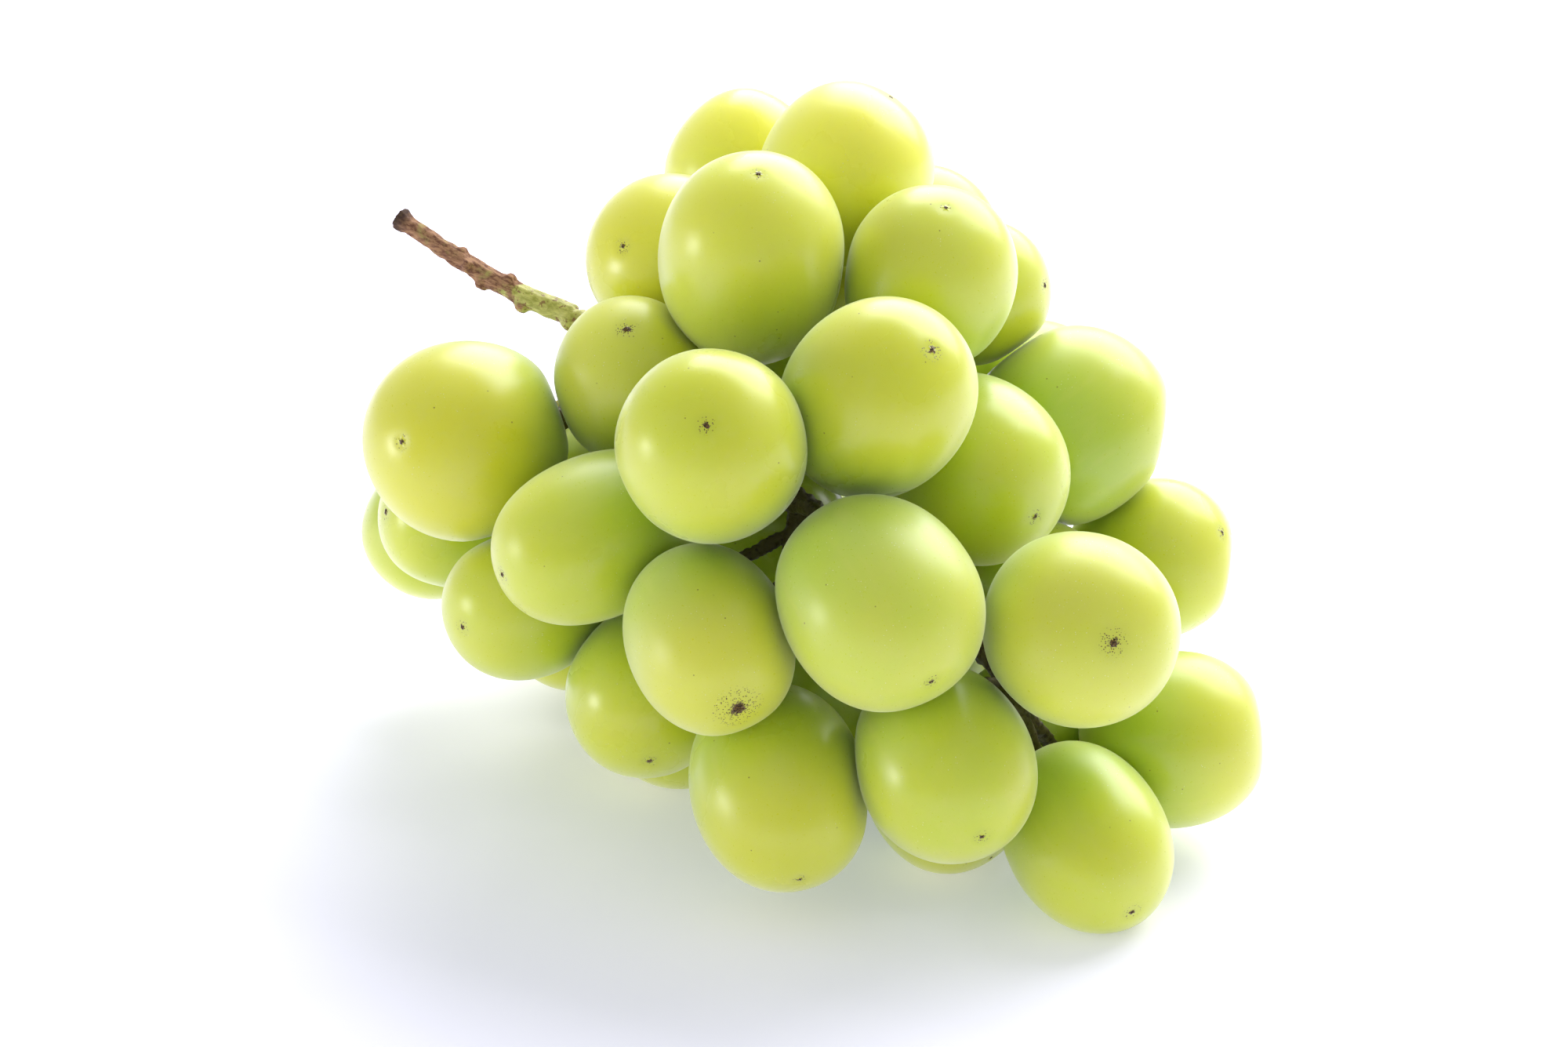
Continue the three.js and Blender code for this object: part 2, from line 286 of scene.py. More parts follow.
def pressing_planes(name):
    """(direction, distance) of each plane that stops this berry's skin: its neighbours' and the table's."""
    berry = berries[name]
    down = np.array([0.0, 0.0, -1.0])
    planes = [(down, berry["centre"][2])]
    for other_name, other in berries.items():
        between = other["centre"] - berry["centre"]
        distance = np.linalg.norm(between)
        if other_name == name or distance > NEIGHBOURHOOD:
            continue
        direction = between / distance
        mine = reach(berry, direction)
        both = mine + reach(other, direction)
        if distance < both + 4 * SOFTNESS:
            planes.append((direction, distance * mine / both - SKIN_GAP))
    for heading, rise, kept in OLD_FLATS.get(name, []):
        turned, lifted = math.radians(heading), math.radians(rise)
        level = math.cos(lifted)
        direction = np.array([math.cos(turned) * level, math.sin(turned) * level, math.sin(lifted)])
        planes.append((direction, reach(berry, direction) * kept))
    return planes


contacts = {name: pressing_planes(name) for name in berries}
pressed_sides = [len(planes) for planes in contacts.values()]
print("a berry is pressed from", min(pressed_sides), "to", max(pressed_sides), "sides")

# %% [markdown]
# ## Making one berry
#
# A UV sphere suits a grape: its two poles become the stalk end and the blossom end. The rings are
# crowded towards the blossom end, where the small dried scar needs fine faces. The sphere's own place on
# the fruit, before anything presses it, is kept in an attribute in millimetres, so that the skin's
# pattern grows with the berry.

# %% What sets one berry's skin apart
# Each berry's pattern starts this many millimetres further on, so that no two are alike.
SEED_STEP = 37.0
# Riper, greener and waxier berries, and paler ones with how much. The paler ones are the berries at the top
# of the bunch: partly their own paler colour, partly painted light where the top of the bunch catches the
# most light.
YELLOW = ["crown_1", "crown_2", "shoulder_1"]
GREEN = ["face_4", "tip_2", "ridge_3"]
WAXY = ["face_4", "shoulder_2", "tip_1", "face_3"]
PALE_AND_TOP_LIT = {"crown_1": 0.35, "crown_2": 1.0, "crown_3": 0.35, "crown_4": 0.9}
# Where a berry is bruised, in millimetres on the fruit, and how far from the pole a large scar reaches.
BRUISED = {"heel_1": (7.5, -9.0, 7.0)}
BRUISE_REACH = 2.2
SCARS = {"face_3": 2.3, "shoulder_2": 1.1, "tip_1": 1.3, "ridge_4": 1.1}


def skin_marks(name, berry, grown):
    """A number for the whole berry, or one for each vertex, under each attribute's name."""
    draw = random.Random(100 + berry["seed"])
    tone = draw.uniform(0.25, 0.8) if name not in YELLOW else 1.0
    bruise = np.zeros(len(grown))
    if name in BRUISED:
        spot = np.array(BRUISED[name])
        bruise = np.exp(-(np.linalg.norm(grown - spot, axis=1) / BRUISE_REACH) ** 2)
    return {
        "seed": SEED_STEP * berry["seed"],
        "tone": 0.1 if name in GREEN else tone,
        "waxy": draw.uniform(-0.3, 0.5) if name not in WAXY else 1.0,
        "pale": PALE_AND_TOP_LIT.get(name, 0.0),
        "bruise": bruise,
        "scar": SCARS.get(name, draw.uniform(0.6, 0.95)),
    }


print("berries with marks of their own:", sorted({*YELLOW, *GREEN, *WAXY, *PALE_AND_TOP_LIT, *BRUISED, *SCARS}))

# %% Shape a sphere into a grape
AROUND = 88
RINGS = 60
RING_CROWDING = 1.6
# Size in radii and waves per radius of three kinds of unevenness.
WRINKLES = ((0.010, 1.6), (0.007, 2.6), (0.0025, 6.0))
WAVES_OF_EACH = 3


def wrinkle(points, seed):
    """A gentle unevenness, a few tenths of a millimetre, different for each berry."""
    draw = random.Random(seed)
    total = np.zeros(len(points))
    for size, waves in WRINKLES:
        for _ in range(WAVES_OF_EACH):
            way = np.array([draw.gauss(0, 1) for _ in range(3)])
            way /= np.linalg.norm(way)
            total += size * np.sin(waves * points @ way + draw.uniform(0, 2 * math.pi))
    return total


def grown_sphere(ball, berry):
    """Vertices of a unit sphere moved to the unpressed fruit, in millimetres, with the blossom end at +Z."""
    polar = np.arccos(np.clip(ball[:, 2], -1, 1))
    polar = math.pi * (polar / math.pi) ** RING_CROWDING
    turn = np.arctan2(ball[:, 1], ball[:, 0])
    plain = np.c_[np.sin(polar) * np.cos(turn), np.sin(polar) * np.sin(turn), np.cos(polar)]
    full = 1 + 0.03 * np.sin(2 * polar) ** 2 + wrinkle(plain, berry["seed"])
    size = np.array([berry["radius"], berry["radius"], berry["half"]]) / MM
    return plain * full[:, None] * size, turn


def ends_dimpled(grown, turn, berry):
    """The same vertices with a dimple at each end, and a raised crust on the blossom's scar."""
    from_pole = np.hypot(grown[:, 0], grown[:, 1])
    blossom = grown[:, 2] > 0
    blossom_dimple = 0.14 * np.exp(-(from_pole / 1.3) ** 2)
    stalk_dimple = 0.9 * np.exp(-(from_pole / 2.6) ** 2)
    star = 0.32 + 0.10 * np.cos(5 * turn + berry["seed"])
    crust = 0.14 / (1 + np.exp((from_pole - star) / 0.07))
    shaped = grown.copy()
    shaped[:, 2] += np.where(blossom, crust - blossom_dimple, stalk_dimple)
    return shaped


def pressed_in_place(shaped, name, berry):
    """The same vertices turned and moved to the berry's place, and folded back behind its planes."""
    spin = Matrix(Vector(berry["axis"]).to_track_quat("Z", "Y").to_matrix())
    placed = shaped * MM @ np.array(spin).T + berry["centre"]
    for direction, limit in contacts[name]:
        along = (placed - berry["centre"]) @ direction
        pressed = -SOFTNESS * np.logaddexp(-along / SOFTNESS, -limit / SOFTNESS)
        placed += (pressed - along)[:, None] * direction
    return placed


def corky_vertices(grown, scar):
    """Numbers of the vertices that lie on the blossom's dried scar, which has a ragged edge."""
    from_pole = np.hypot(grown[:, 0], grown[:, 1])
    near_end = np.flatnonzero((grown[:, 2] > 0) & (from_pole < scar))
    return {i for i in near_end if from_pole[i] < scar * (0.40 + 0.45 * noise.noise(Vector(grown[i]) * 2.1))}


def grape(name, berry):
    """One berry as a mesh object, in place."""
    bm = bmesh.new()
    bmesh.ops.create_uvsphere(bm, u_segments=AROUND, v_segments=RINGS, radius=1)
    mesh = bpy.data.meshes.new("grape_" + name)
    bm.to_mesh(mesh)
    bm.free()
    ball = np.zeros(3 * len(mesh.vertices))
    mesh.vertices.foreach_get("co", ball)

    grown, turn = grown_sphere(ball.reshape(-1, 3), berry)
    shaped = ends_dimpled(grown, turn, berry)
    mesh.vertices.foreach_set("co", pressed_in_place(shaped, name, berry).ravel())
    mesh.attributes.new("grown_mm", "FLOAT_VECTOR", "POINT").data.foreach_set("vector", grown.ravel())
    marks = skin_marks(name, berry, grown)
    for key, value in marks.items():
        values = np.full(len(grown), value, dtype=float)
        mesh.attributes.new(key, "FLOAT", "POINT").data.foreach_set("value", values)
    corky = corky_vertices(grown, marks["scar"])
    for face in mesh.polygons:
        face.material_index = int(corky.issuperset(face.vertices))
    mesh.shade_smooth()
    mesh.update()
    piece = bpy.data.objects.new("grape_" + name, mesh)
    scene.collection.objects.link(piece)
    return piece


grapes = {name: grape(name, berry) for name, berry in berries.items()}
print(len(grapes), "grapes of", len(grapes[BERRY_NODES[0]].data.polygons), "faces each")

# %% [markdown]
# ## The skin
#
# A table grape is clear yellow-green flesh in a thin, faintly waxy skin. Light goes millimetres deep and
# comes out again, red and green more easily than blue, so the clefts glow instead of going dark. Over
# that lies the bloom, a dull whitish wax that grows on the skin: it is thickest where nothing has touched
# it, and rubbed away in patches that shine. Small corky pores (lenticels) dot the skin, and the blossom
# left a dark dried star at the far pole. Every pattern is driven by the attributes made above, in real
# millimetres on the unpressed fruit.

# %% Names for the kinds of node used most
MATH = "ShaderNodeMath"
VECTORS = "ShaderNodeVectorMath"
RANGE = "ShaderNodeMapRange"
MIX = "ShaderNodeMix"
NOISE = "ShaderNodeTexNoise"
CELLS = "ShaderNodeTexVoronoi"
ATTRIBUTE = "ShaderNodeAttribute"
PRINCIPLED = "ShaderNodeBsdfPrincipled"
OUTPUT = "ShaderNodeOutputMaterial"
SMOOTH = {"interpolation_type": "SMOOTHSTEP"}
COLOURS = {"data_type": "RGBA"}
# A Mix node's sockets for colours: the colour below, the colour above, and the result.
UNDER, OVER, MIXED = 6, 7, 2


def every(size):
    """The scale of a pattern that comes round about every so many millimetres."""
    return 1 / size


print("a pattern every 2 mm has the scale", every(2))

# %% [markdown]
# Each berry's patterns start somewhere else, so no two berries are alike. How far a place lies from the
# line between the poles says where it is round the blossom end.

# %% Find the place on the fruit
skin = new_material("grape skin with waxy bloom")
tree = skin.node_tree
grown = add(tree, ATTRIBUTE, attribute_name="grown_mm").outputs["Vector"]
seed = add(tree, ATTRIBUTE, attribute_name="seed").outputs["Fac"]
further_on = add(tree, "ShaderNodeCombineXYZ", {"X": seed})
own = add(tree, VECTORS, {0: grown, 1: further_on}, operation="ADD")
height = add(tree, "ShaderNodeSeparateXYZ", {0: grown}).outputs["Z"]
flattened = add(tree, VECTORS, {0: grown, 1: (1, 1, 0)}, operation="MULTIPLY")
off_axis = add(tree, VECTORS, {0: flattened}, operation="LENGTH").outputs["Value"]
blossom_end = add(tree, RANGE, {"Value": height, "From Min": 0, "From Max": 2}, **SMOOTH)
print("places:", len(tree.nodes), "nodes")

# %% [markdown]
# The flesh is ripest and yellowest round the blossom end and greener down the sides. Faint clouds and
# long fine veins show through the skin.

# %% Colour the flesh
tone = add(tree, ATTRIBUTE, attribute_name="tone").outputs["Fac"]
flesh = add(tree, MIX, {"Factor": tone, UNDER: "#c9d834", OVER: "#dcdc32"}, **COLOURS).outputs[MIXED]
cloud = add(tree, NOISE, {"Vector": own, "Scale": every(11), "Detail": 2})
clouded = add(tree, RANGE, {"Value": cloud, "From Min": 0.35, "From Max": 0.70, "To Max": 0.35}, **SMOOTH)
flesh = add(tree, MIX, {"Factor": clouded, UNDER: flesh, OVER: "#d6d735"}, **COLOURS).outputs[MIXED]
uneven_height = add(tree, MATH, {0: cloud, 1: -4, 2: height}, operation="MULTIPLY_ADD")
sides = add(tree, RANGE, {"Value": uneven_height, "From Min": 9, "From Max": -9, "To Max": 0.75}, **SMOOTH)
flesh = add(tree, MIX, {"Factor": sides, UNDER: flesh, OVER: "#aecb3c"}, **COLOURS).outputs[MIXED]
drawn_out = add(tree, VECTORS, {0: own, 1: (every(1.8), every(1.8), every(10))}, operation="MULTIPLY")
vein = add(tree, NOISE, {"Vector": drawn_out, "Scale": 1, "Detail": 3})
veined = add(tree, RANGE, {"Value": vein, "From Min": 0.50, "From Max": 0.72, "To Max": 0.14}, **SMOOTH)
flesh = add(tree, MIX, {"Factor": veined, UNDER: flesh, OVER: "#d8d968"}, **COLOURS).outputs[MIXED]
print("flesh:", len(tree.nodes), "nodes so far")

# %% [markdown]
# A few berries at the top of the bunch are paler than the rest, partly their own colour and partly painted
# light where the most light falls, and one has a brown bruise.

# %% Pale and bruised flesh
# Painted light, in part: the top berries are paled towards bright yellow for the light that falls on the top
# of the bunch.
pale = add(tree, ATTRIBUTE, attribute_name="pale").outputs["Fac"]
paled_and_top_lit = add(tree, MATH, {0: pale, 1: 0.8}, operation="MULTIPLY")
flesh = add(tree, MIX, {"Factor": paled_and_top_lit, UNDER: flesh, OVER: "#f4f25e"}, **COLOURS).outputs[MIXED]
bruise = add(tree, ATTRIBUTE, attribute_name="bruise").outputs["Fac"]
browned = add(tree, MATH, {0: bruise, 1: 0.5}, operation="MULTIPLY")
flesh = add(tree, MIX, {"Factor": browned, UNDER: flesh, OVER: "#8a8245"}, **COLOURS).outputs[MIXED]
print("marked flesh:", len(tree.nodes), "nodes so far")

# %% [markdown]
# Bloom is wax that the skin breathes out as it grows. It lies in large soft drifts with ragged rubbed
# edges and small missing flecks, and thins out towards the blossom's scar. It dulls and whitens the skin.

# %% Lay the bloom
waxy = add(tree, ATTRIBUTE, attribute_name="waxy").outputs["Fac"]
drift = add(tree, NOISE, {"Vector": own, "Scale": every(12), "Detail": 3, "Roughness": 0.45})
ragged = add(tree, NOISE, {"Vector": own, "Scale": every(1.25), "Detail": 4, "Roughness": 0.6})
frayed = add(tree, MATH, {0: ragged, 1: 0.06, 2: drift}, operation="MULTIPLY_ADD")
wax = add(tree, MATH, {0: waxy, 1: 0.22, 2: frayed}, operation="MULTIPLY_ADD")
drifts = add(tree, RANGE, {"Value": wax, "From Min": 0.36, "From Max": 0.84}, **SMOOTH)
fleck = add(tree, NOISE, {"Vector": own, "Scale": every(0.4), "Detail": 2})
unflecked = add(tree, RANGE, {
    "Value": fleck, "From Min": 0.64, "From Max": 0.72, "To Min": 1, "To Max": 0}, **SMOOTH)
flecked = add(tree, MATH, {0: drifts, 1: unflecked}, operation="MULTIPLY")
wax_swing = add(tree, MATH, {0: wax, 1: 0.5}, operation="SUBTRACT")
wandering = add(tree, MATH, {0: wax_swing, 1: 14, 2: off_axis}, operation="MULTIPLY_ADD")
thinned = add(tree, RANGE, {
    "Value": wandering, "From Min": 1, "From Max": 7, "To Min": 0.6, "To Max": 0}, **SMOOTH)
near_scar = add(tree, MATH, {0: blossom_end, 1: thinned}, operation="MULTIPLY")
away_from_scar = add(tree, MATH, {0: 1, 1: near_scar}, operation="SUBTRACT")
bloom = add(tree, MATH, {0: flecked, 1: away_from_scar}, operation="MULTIPLY")
whitened = add(tree, MATH, {0: bloom, 1: 0.10}, operation="MULTIPLY")
colour = add(tree, MIX, {"Factor": whitened, UNDER: flesh, OVER: "#e2e7bb"}, **COLOURS).outputs[MIXED]
print("bloom:", len(tree.nodes), "nodes so far")

# %% [markdown]
# Grains of wax are pale pin dots that stand out of the bloom, gathered here and there.

# %% Scatter the grains
grid = add(tree, CELLS, {"Vector": own, "Scale": every(0.65)})
dots = add(tree, RANGE, {
    "Value": grid, "From Min": 0.05, "From Max": 0.15, "To Min": 1, "To Max": 0}, **SMOOTH)
places = add(tree, NOISE, {"Vector": own, "Scale": every(4.5)})
waxy_places = add(tree, MATH, {0: waxy, 1: 0.08, 2: places}, operation="MULTIPLY_ADD")
gathered = add(tree, RANGE, {"Value": waxy_places, "From Min": 0.53, "From Max": 0.68}, **SMOOTH)
grain = add(tree, MATH, {0: dots, 1: gathered}, operation="MULTIPLY")
dotted = add(tree, MATH, {0: grain, 1: 0.7}, operation="MULTIPLY")
colour = add(tree, MIX, {"Factor": dotted, UNDER: colour, OVER: "#f1f3d6"}, **COLOURS).outputs[MIXED]
print("grains:", len(tree.nodes), "nodes so far")

# %% [markdown]
# Lenticels are the skin's pores, a few tiny corky dots. Only some of the cells of the pattern have one.

# %% Dot the pores
grid = add(tree, CELLS, {"Vector": own, "Scale": every(3)})
dots = add(tree, RANGE, {
    "Value": grid, "From Min": 0.02, "From Max": 0.06, "To Min": 0.75, "To Max": 0}, **SMOOTH)
lot = add(tree, "ShaderNodeSeparateXYZ", {0: grid.outputs["Color"]})
picked = add(tree, RANGE, {"Value": lot, "From Min": 0.55, "From Max": 0.60}, **SMOOTH)
pore = add(tree, MATH, {0: dots, 1: picked}, operation="MULTIPLY")
colour = add(tree, MIX, {"Factor": pore, UNDER: colour, OVER: "#5e4000"}, **COLOURS).outputs[MIXED]
print("pores:", len(tree.nodes), "nodes so far")

# %% [markdown]
# The blossom dried and fell off, and left a ragged corky star with loose specks round it, in a faintly
# paler ring. Distances are in sizes of the scar, which differs from berry to berry.

# %% Find the blossom's scar
scar_size = add(tree, ATTRIBUTE, attribute_name="scar").outputs["Fac"]
reached = add(tree, MATH, {0: off_axis, 1: scar_size}, operation="DIVIDE")
edge = add(tree, NOISE, {"Vector": own, "Scale": every(0.4), "Detail": 3, "Roughness": 0.7})
edge_swing = add(tree, MATH, {0: edge, 1: 0.5}, operation="SUBTRACT")
ragged_reach = add(tree, MATH, {0: edge_swing, 1: 1.5, 2: reached}, operation="MULTIPLY_ADD")
star = add(tree, RANGE, {
    "Value": ragged_reach, "From Min": 0.36, "From Max": 0.60, "To Min": 1, "To Max": 0}, **SMOOTH)
grid = add(tree, CELLS, {"Vector": own, "Scale": every(0.3)})
dots = add(tree, RANGE, {
    "Value": grid, "From Min": 0.26, "From Max": 0.40, "To Min": 1, "To Max": 0}, **SMOOTH)
lot = add(tree, "ShaderNodeSeparateXYZ", {0: grid.outputs["Color"]})
picked = add(tree, RANGE, {"Value": lot, "From Min": 0.42, "From Max": 0.46}, **SMOOTH)
around = add(tree, RANGE, {
    "Value": ragged_reach, "From Min": 1.2, "From Max": 1.8, "To Min": 0.95, "To Max": 0}, **SMOOTH)
picked_dots = add(tree, MATH, {0: dots, 1: picked}, operation="MULTIPLY")
specks = add(tree, MATH, {0: picked_dots, 1: around}, operation="MULTIPLY")
star_and_specks = add(tree, MATH, {0: star, 1: specks}, operation="MAXIMUM")
scar = add(tree, MATH, {0: star_and_specks, 1: blossom_end}, operation="MULTIPLY")
print("scar:", len(tree.nodes), "nodes so far")

# %% Colour the scar and its ring
ring = add(tree, RANGE, {
    "Value": reached, "From Min": 0.7, "From Max": 3.0, "To Min": 0.10, "To Max": 0}, **SMOOTH)
halo = add(tree, MATH, {0: ring, 1: blossom_end}, operation="MULTIPLY")
colour = add(tree, MIX, {"Factor": halo, UNDER: colour, OVER: "#8f9440"}, **COLOURS).outputs[MIXED]
crumbs = add(tree, NOISE, {"Vector": own, "Scale": every(0.2), "Detail": 2})
crumbly = add(tree, RANGE, {"Value": crumbs, "From Min": 0.50, "From Max": 0.75}, **SMOOTH)
dried = add(tree, MIX, {"Factor": crumbly, UNDER: "#4c2a00", OVER: "#8a5c10"}, **COLOURS).outputs[MIXED]
colour = add(tree, MIX, {"Factor": scar, UNDER: colour, OVER: dried}, **COLOURS).outputs[MIXED]
print("scar's colours:", len(tree.nodes), "nodes so far")

# %% [markdown]
# Gloss follows the bloom: rubbed skin shines, bloom and cork are dull. The sheen is the wax seen edge-on,
# which pales the rim of each berry. Light is scattered some millimetres deep, but not under the cork.

# %% Give the skin its gloss and depth
dull_bloom = add(tree, MATH, {0: bloom, 1: 0.75}, operation="MULTIPLY")
dull = add(tree, MATH, {0: dull_bloom, 1: scar}, operation="MAXIMUM")
roughness = add(tree, RANGE, {"Value": dull, "To Min": 0.27, "To Max": 0.48})
crust_height = add(tree, MATH, {0: grain, 1: 0.5, 2: scar}, operation="MULTIPLY_ADD")
heights = add(tree, MATH, {0: ragged, 1: 0.35, 2: crust_height}, operation="MULTIPLY_ADD")
relief = add(tree, "ShaderNodeBump", {"Height": heights, "Strength": 0.35, "Distance": 0.06 * MM})
see_through = add(tree, MATH, {0: scar, 1: -0.9, 2: 1}, operation="MULTIPLY_ADD")
body = add(tree, PRINCIPLED, {
    "Base Color": colour,
    "Roughness": roughness,
    "Normal": relief,
    "IOR": 1.5,
    "Subsurface Weight": see_through,
    "Subsurface Radius": (1.0, 0.94, 0.12),
    "Subsurface Scale": 10 * MM,
    "Coat Weight": 0.45,
    "Coat Roughness": 0.40,
    "Coat IOR": 1.5,
    "Sheen Weight": 0.65,
    "Sheen Roughness": 0.40,
    "Sheen Tint": "#f6f9e6",
})
add(tree, OUTPUT, {"Surface": body})
print("skin nodes:", len(tree.nodes))

# %% [markdown]
# The middle of the scar is cork, the dead tissue that closed the wound when the blossom fell. It is dry
# and crumbly, so it neither shines nor lets light in, and reads as a dark brown fleck.

# %% Dried cork in the middle of the scar
dry = new_material("dried blossom scar, corky")
tree = dry.node_tree
grown = add(tree, ATTRIBUTE, attribute_name="grown_mm").outputs["Vector"]
grit = add(tree, NOISE, {"Vector": grown, "Scale": every(0.25), "Detail": 2})
gritty = add(tree, RANGE, {"Value": grit, "From Min": 0.42, "From Max": 0.62}, **SMOOTH)
brown = add(tree, MIX, {"Factor": gritty, UNDER: "#2c1c06", OVER: "#6e5420"}, **COLOURS).outputs[MIXED]
cork = add(tree, PRINCIPLED, {"Base Color": brown, "Roughness": 0.85})
add(tree, OUTPUT, {"Surface": cork})
print("cork nodes:", len(tree.nodes))

# %% Put both on every berry
for name, piece in grapes.items():
    piece.data.materials.append(skin)
    piece.data.materials.append(dry)
    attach(piece, "root")
    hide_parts(name)
print("berries with skin:", len(grapes))

# %% [markdown]
# ## The stem
#
# The stalk is wood where it met the vine and turns green inside the bunch, as its corky bark ends. The
# plain solids of the stalk and the stem are copied and joined by a small plug, and a voxel remesh turns
# them into one even skin.

# %% Grow one stem out of the two plain solids
STEM_VOXEL = 0.3 * MM
JOINT_REACH = 1.2 * MM
PLUG_RADIUS = 1.95 * MM

bm = bmesh.new()
for name in STEM_NODES:
    bm.from_mesh(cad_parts[name].data)
bmesh.ops.remove_doubles(bm, verts=bm.verts, dist=0.001 * MM)
stalk_points = np.array([v.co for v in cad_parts["peduncle"].data.vertices])
to_stem = np.array([np.linalg.norm(stem_points - point, axis=1).min() for point in stalk_points])
joint = stalk_points[to_stem < JOINT_REACH].mean(0)
bmesh.ops.create_icosphere(bm, subdivisions=3, radius=PLUG_RADIUS, matrix=Matrix.Translation(joint))
plain_stem = bpy.data.meshes.new("joined_stem")
bm.to_mesh(plain_stem)
bm.free()
cast = bpy.data.objects.new("joined_stem", plain_stem)
scene.collection.objects.link(cast)
remesh = cast.modifiers.new("even_skin", "REMESH")
remesh.mode = "VOXEL"
remesh.voxel_size = STEM_VOXEL
bpy.context.view_layer.update()
stem_mesh = bpy.data.meshes.new_from_object(cast.evaluated_get(bpy.context.evaluated_depsgraph_get()))
bpy.data.objects.remove(cast)
bpy.data.meshes.remove(plain_stem)
stem_mesh.name = "vine_stem"
print("joint of the stem at", [round(v / MM, 1) for v in joint], "mm")

# %% [markdown]
# The even skin is smoothed and then roughened again: ridges and flakes run along the bark, small lumps
# lie all over it, and the inner stem is warty. How far each place lies from the cut end is kept.

# %% Roughen the stem
RIDGES = 7
SMOOTHINGS = 3
# Where the bark has ended and where the warts begin, in millimetres from the cut end.
BARK_END = 38
WARTS_START = 42
FADE = 6

bm = bmesh.new()
bm.from_mesh(stem_mesh)
for _ in range(SMOOTHINGS):
    bmesh.ops.smooth_vert(bm, verts=bm.verts, factor=0.5, use_axis_x=True, use_axis_y=True, use_axis_z=True)
bm.normal_update()
cut_end = Vector(stalk_points[np.argmin(stalk_points[:, 0])])
stalk_way = (Vector(joint) - cut_end).normalized()
stalk_side = stalk_way.orthogonal().normalized()
stalk_over = stalk_way.cross(stalk_side)
from_cut = []
for vert in bm.verts:
    offset = vert.co - cut_end
    along = offset.dot(stalk_way) / MM
    from_cut.append(along)
    woody = max(0.0, min(1.0, (BARK_END - along) / FADE))
    inner = max(0.0, min(1.0, (along - WARTS_START) / FADE))
    turn = math.atan2(vert.normal.dot(stalk_over), vert.normal.dot(stalk_side))
    at = vert.co / MM
    ridge = 0.055 * math.sin(RIDGES * turn + 1.4 * noise.noise(at * 0.12) * math.pi)
    flakes = 0.12 * noise.noise(Vector((along * 0.5, turn * 2.2, 3.0)))
    lumps = 0.16 * noise.noise(at * 0.55) + 0.07 * noise.noise(at * 1.6)
    warts = 0.22 + 0.35 * noise.noise(at * 1.1)
    rise = woody * (ridge + flakes) + lumps * (0.45 + 0.55 * woody) + inner * warts
    vert.co += vert.normal * rise * MM
bm.to_mesh(stem_mesh)
bm.free()
stem_mesh.attributes.new("from_cut_mm", "FLOAT", "POINT").data.foreach_set("value", from_cut)
places = np.zeros(3 * len(stem_mesh.vertices))
stem_mesh.vertices.foreach_get("co", places)
stem_mesh.attributes.new("stem_mm", "FLOAT_VECTOR", "POINT").data.foreach_set("vector", places / MM)
stem_mesh.shade_smooth()
vine_stem = bpy.data.objects.new("vine_stem", stem_mesh)
scene.collection.objects.link(vine_stem)
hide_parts(*STEM_NODES)
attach(vine_stem, "root")
print("vine_stem:", len(stem_mesh.polygons), "faces")

# %% [markdown]
# Vine bark is a thin corky layer that splits lengthwise into fibres. That gives the eye brown ridges with
# darker furrows, a blackened dry cut end, and flakes that stop short of the green stalk.

# %% Vine bark
bark = new_material("vine bark over green rind")
tree = bark.node_tree
where = add(tree, ATTRIBUTE, attribute_name="stem_mm").outputs["Vector"]
along = add(tree, ATTRIBUTE, attribute_name="from_cut_mm").outputs["Fac"]
patch = add(tree, NOISE, {"Vector": where, "Scale": every(3), "Detail": 4, "Roughness": 0.6})
patch_swing = add(tree, MATH, {0: patch, 1: 0.5}, operation="SUBTRACT")
patchy = add(tree, MATH, {0: patch_swing, 1: 26}, operation="MULTIPLY")
drawn_out = add(tree, VECTORS, {0: where, 1: (every(2.4), every(0.5), every(0.5))}, operation="MULTIPLY")
fibre = add(tree, NOISE, {"Vector": drawn_out, "Scale": 1, "Detail": 5, "Roughness": 0.65})
ridged = add(tree, RANGE, {"Value": fibre, "From Min": 0.36, "From Max": 0.62}, **SMOOTH)
wood = add(tree, MIX, {"Factor": ridged, UNDER: "#6e4534", OVER: "#b08462"}, **COLOURS).outputs[MIXED]
flaked = add(tree, RANGE, {"Value": patch, "From Min": 0.52, "From Max": 0.66, "To Max": 0.7}, **SMOOTH)
wood = add(tree, MIX, {"Factor": flaked, UNDER: wood, OVER: "#a99a5c"}, **COLOURS).outputs[MIXED]
rough_cut = add(tree, MATH, {0: patchy, 1: 0.08, 2: along}, operation="MULTIPLY_ADD")
blackened = add(tree, RANGE, {
    "Value": rough_cut, "From Min": 0.8, "From Max": 3.2, "To Min": 0.85, "To Max": 0}, **SMOOTH)
wood = add(tree, MIX, {"Factor": blackened, UNDER: wood, OVER: "#3a2c2c"}, **COLOURS).outputs[MIXED]
rough_lip = add(tree, MATH, {0: patchy, 1: 0.06, 2: along}, operation="MULTIPLY_ADD")
dry_lip = add(tree, RANGE, {
    "Value": rough_lip, "From Min": -0.4, "From Max": 0.5, "To Min": 1, "To Max": 0}, **SMOOTH)
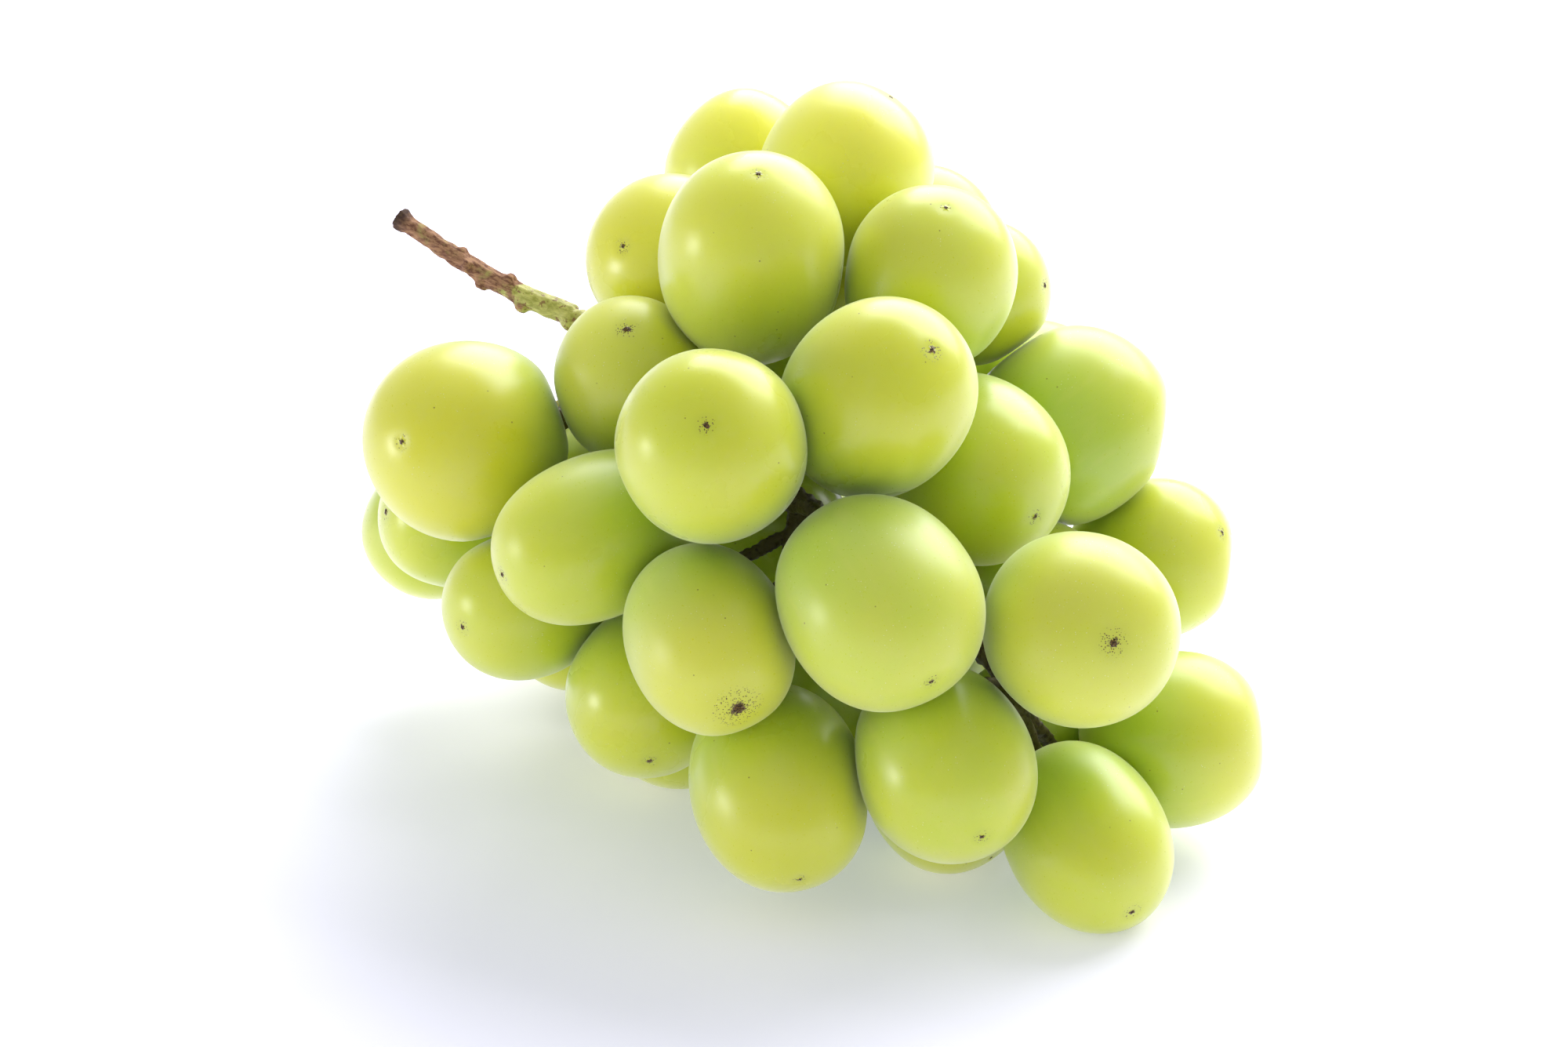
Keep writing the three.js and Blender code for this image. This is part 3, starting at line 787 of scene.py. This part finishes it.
wood = add(tree, MIX, {"Factor": dry_lip, UNDER: wood, OVER: "#a27c68"}, **COLOURS).outputs[MIXED]
print("bark:", len(tree.nodes), "nodes so far")

# %% [markdown]
# Further in, the stem is living green rind, smooth where it grew and flecked with rusty cork where it
# rubbed. Deep inside the bunch it darkens to olive brown.

# %% Green rind
rust_noise = add(tree, NOISE, {"Vector": where, "Scale": every(1.35), "Detail": 3, "Roughness": 0.6})
rust = add(tree, RANGE, {"Value": rust_noise, "From Min": 0.56, "From Max": 0.61}, **SMOOTH)
rusty = add(tree, MATH, {0: rust, 1: 0.8}, operation="MULTIPLY")
streaked = add(tree, RANGE, {"Value": fibre, "From Min": 0.35, "From Max": 0.65}, **SMOOTH)
rind = add(tree, MIX, {"Factor": streaked, UNDER: "#a5a448", OVER: "#cfcb72"}, **COLOURS).outputs[MIXED]
rind = add(tree, MIX, {"Factor": rusty, UNDER: rind, OVER: "#7d4a2c"}, **COLOURS).outputs[MIXED]
deep = add(tree, RANGE, {"Value": along, "From Min": 36, "From Max": 46, "To Max": 0.92}, **SMOOTH)
olive = add(tree, MIX, {"Factor": rust, UNDER: "#3d3119", OVER: "#21150c"}, **COLOURS).outputs[MIXED]
rind = add(tree, MIX, {"Factor": deep, UNDER: rind, OVER: olive}, **COLOURS).outputs[MIXED]
print("rind:", len(tree.nodes), "nodes so far")

# %% Join bark and rind
patchy_along = add(tree, MATH, {0: along, 1: patchy}, operation="ADD")
green = add(tree, RANGE, {"Value": patchy_along, "From Min": 22.5, "From Max": 27}, **SMOOTH)
colour = add(tree, MIX, {"Factor": green, UNDER: wood, OVER: rind}, **COLOURS).outputs[MIXED]
roughness = add(tree, RANGE, {"Value": green, "To Min": 0.82, "To Max": 0.5})
relief = add(tree, "ShaderNodeBump", {"Height": fibre, "Strength": 0.6, "Distance": 0.2 * MM})
body = add(tree, PRINCIPLED, {"Base Color": colour, "Roughness": roughness, "Normal": relief, "IOR": 1.45})
add(tree, OUTPUT, {"Surface": body})
stem_mesh.materials.append(bark)
print("bark nodes:", len(tree.nodes))
